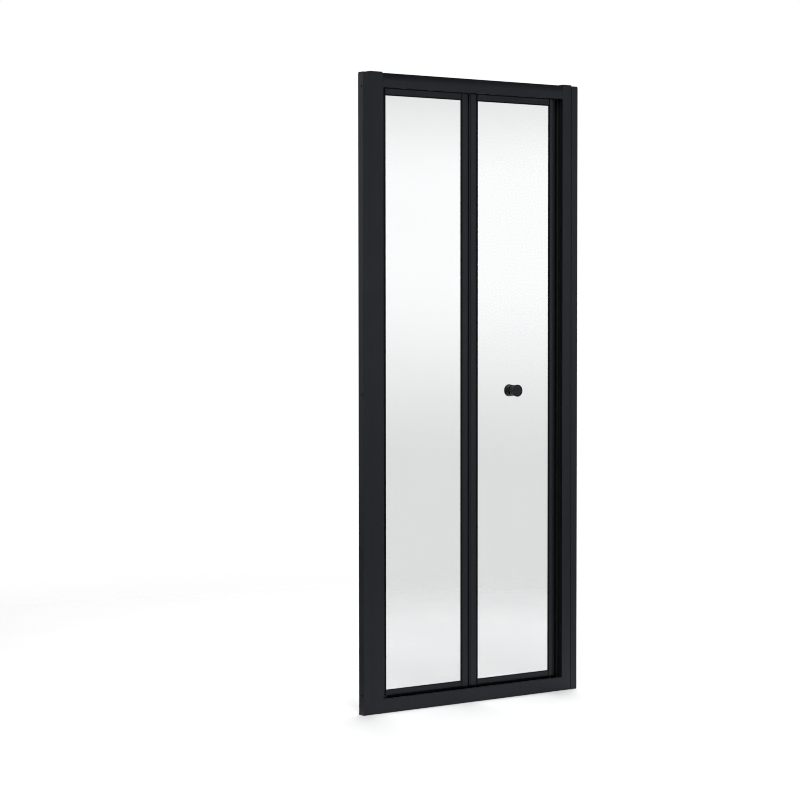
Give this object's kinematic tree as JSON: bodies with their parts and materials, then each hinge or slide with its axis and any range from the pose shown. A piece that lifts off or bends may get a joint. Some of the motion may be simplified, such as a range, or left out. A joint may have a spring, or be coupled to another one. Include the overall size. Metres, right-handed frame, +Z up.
{
  "type": "bifold shower door",
  "caption": "Matt black framed bifold shower door: two glazed leaves hinged together fold inward on a side pivot, guided by header and sill tracks, with a round knob.",
  "frame": {"origin": "middle of the frame's width and depth, on the underside of the sill", "axes": "+Z up; +X along the door's width, from the pivot side to the closing side; +Y into the shower, the way the leaves fold; the outer face, with the wall posts' fronts, looks along -Y"},
  "size_m": [0.8, 0.0518, 1.8428],
  "materials": {
    "frame_black": "matt black powder coat",
    "leaf_black": "matt black powder coat",
    "cap_black": "fine textured black",
    "rubber_black": "matt black",
    "nylon_black": "moulded black",
    "nylon_white": "moulded off-white",
    "steel": "turned stainless",
    "screw_black": "blackened stainless",
    "glass_clear": "clear toughened",
    "knob_black": "matt black, turned"
  },
  "bodies": {
    "frame": {"wall_channel_left": "frame_black", "wall_channel_right": "frame_black", "jamb_left": "frame_black", "jamb_right": "frame_black", "header_rail": "frame_black", "sill_rail": "frame_black", "channel_caps": "cap_black", "jamb_caps": "cap_black", "header_track": "frame_black", "sill_track": "frame_black", "track_screws": "screw_black", "track_end_stops": "rubber_black", "top_pivot_bracket": "nylon_black", "bottom_pivot_bracket": "nylon_black", "pivot_bushes": "nylon_black", "pivot_bracket_screws": "screw_black", "frame_corner_screws": "screw_black", "jamb_fixing_screws": "screw_black", "screw_covers": "cap_black", "pivot_jamb_seal": "rubber_black", "closing_jamb_seal": "rubber_black"},
    "pivot_leaf": {"pivot_stile": "leaf_black", "pivot_leaf_centre_stile": "leaf_black", "pivot_leaf_top_rail": "leaf_black", "pivot_leaf_bottom_rail": "leaf_black", "pivot_leaf_glass": "glass_clear", "pivot_leaf_gasket": "rubber_black", "pivot_leaf_corner_blocks": "nylon_black", "pivot_leaf_corner_screws": "screw_black", "pivot_pins": "screw_black", "pivot_leaf_drip_seal": "rubber_black", "hinge_leaf_pivot_side": "leaf_black", "hinge_pin": "steel", "hinge_screws_pivot_side": "screw_black", "centre_gap_seal": "rubber_black"},
    "folding_leaf": {"folding_leaf_centre_stile": "leaf_black", "closing_stile": "leaf_black", "folding_leaf_top_rail": "leaf_black", "folding_leaf_bottom_rail": "leaf_black", "folding_leaf_glass": "glass_clear", "folding_leaf_gasket": "rubber_black", "folding_leaf_corner_blocks": "nylon_black", "folding_leaf_corner_screws": "screw_black", "guide_pins": "steel", "folding_leaf_drip_seal": "rubber_black", "closing_magnet_seal": "rubber_black", "hinge_leaf_folding_side": "leaf_black", "hinge_screws_folding_side": "screw_black", "knob_outer": "knob_black", "knob_inner": "knob_black", "knob_bushes": "rubber_black", "knob_stud": "steel"},
    "top_guide": {"top_guide_carriage": "nylon_white", "top_guide_axles": "steel"},
    "roller_left": {"top_guide_roller_left": "nylon_white"},
    "roller_right": {"top_guide_roller_right": "nylon_white"},
    "bottom_guide": {"bottom_guide_shoe": "nylon_white"}
  },
  "joints": [
    {"name": "pivot_hinge", "type": "hinge", "parent": "frame", "child": "pivot_leaf", "pos_m": [-0.317, 0.0085, 0.92], "axis": [0, 0, 1], "range_deg": [0, 82]},
    {"name": "centre_hinge", "type": "hinge", "parent": "pivot_leaf", "child": "folding_leaf", "pos_m": [0.002, 0.0015, 0.92], "axis": [0, 0, 1], "range_deg": [-164, 0]},
    {"name": "top_guide_swivel", "type": "hinge", "parent": "folding_leaf", "child": "top_guide", "pos_m": [0.321, 0.0085, 1.828], "axis": [0, 0, 1], "range_deg": [0, 82]},
    {"name": "bottom_guide_swivel", "type": "hinge", "parent": "folding_leaf", "child": "bottom_guide", "pos_m": [0.321, 0.0085, 0.0115], "axis": [0, 0, 1], "range_deg": [0, 82]},
    {"name": "roller_left_spin", "type": "hinge", "parent": "top_guide", "child": "roller_left", "pos_m": [0.291, 0.0085, 1.826], "axis": [0, 0, 1], "continuous": true},
    {"name": "roller_right_spin", "type": "hinge", "parent": "top_guide", "child": "roller_right", "pos_m": [0.3065, 0.0085, 1.826], "axis": [0, 0, 1], "continuous": true}
  ],
  "couplings": [
    {"joint": "centre_hinge", "follows": "pivot_hinge", "ratio": -2},
    {"joint": "top_guide_swivel", "follows": "pivot_hinge", "ratio": 1},
    {"joint": "bottom_guide_swivel", "follows": "pivot_hinge", "ratio": 1}
  ]
}
